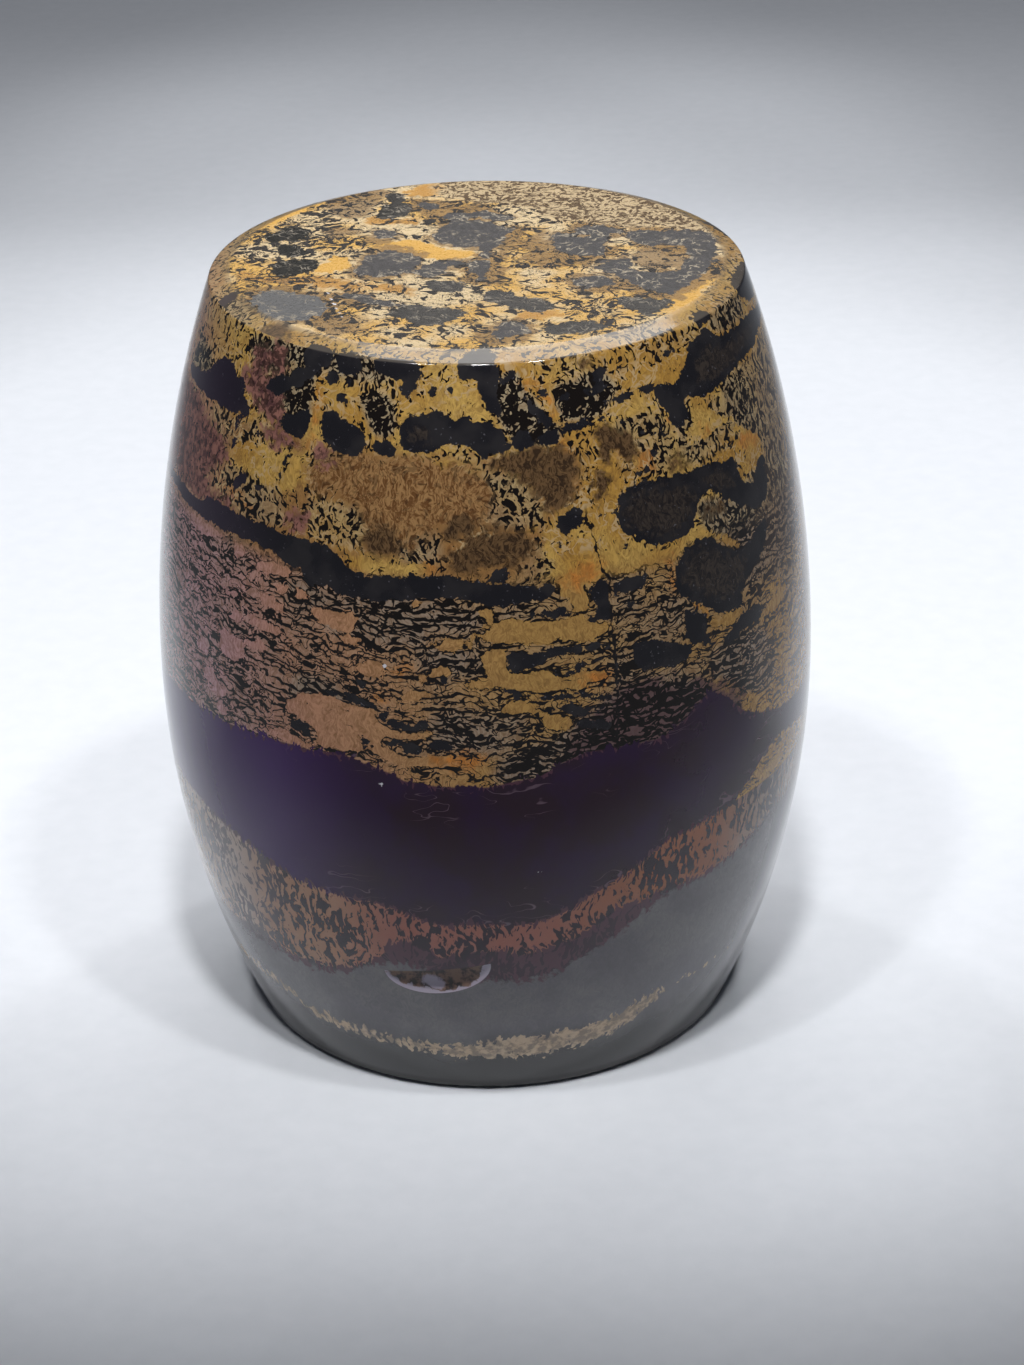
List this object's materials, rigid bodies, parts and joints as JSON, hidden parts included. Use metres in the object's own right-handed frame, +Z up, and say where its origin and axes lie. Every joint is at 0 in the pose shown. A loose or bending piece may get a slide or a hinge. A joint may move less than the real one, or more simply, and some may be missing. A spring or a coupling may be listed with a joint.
{
  "type": "picture jasper barrel bead",
  "caption": "Barrel-shaped polished picture jasper bead, undrilled, with a flat base and a chamfered flat top; it stands on its base.",
  "frame": {"origin": "centre of the flat base, on the surface that the stone stands on", "axes": "+Z up along the barrel's axis; -Y is the side with the chip, which the picture shows"},
  "size_m": [0.0268, 0.0268, 0.032],
  "materials": {
    "polished_jasper": "polished"
  },
  "bodies": {
    "root": {"barrel_stone": "polished_jasper"}
  },
  "joints": []
}
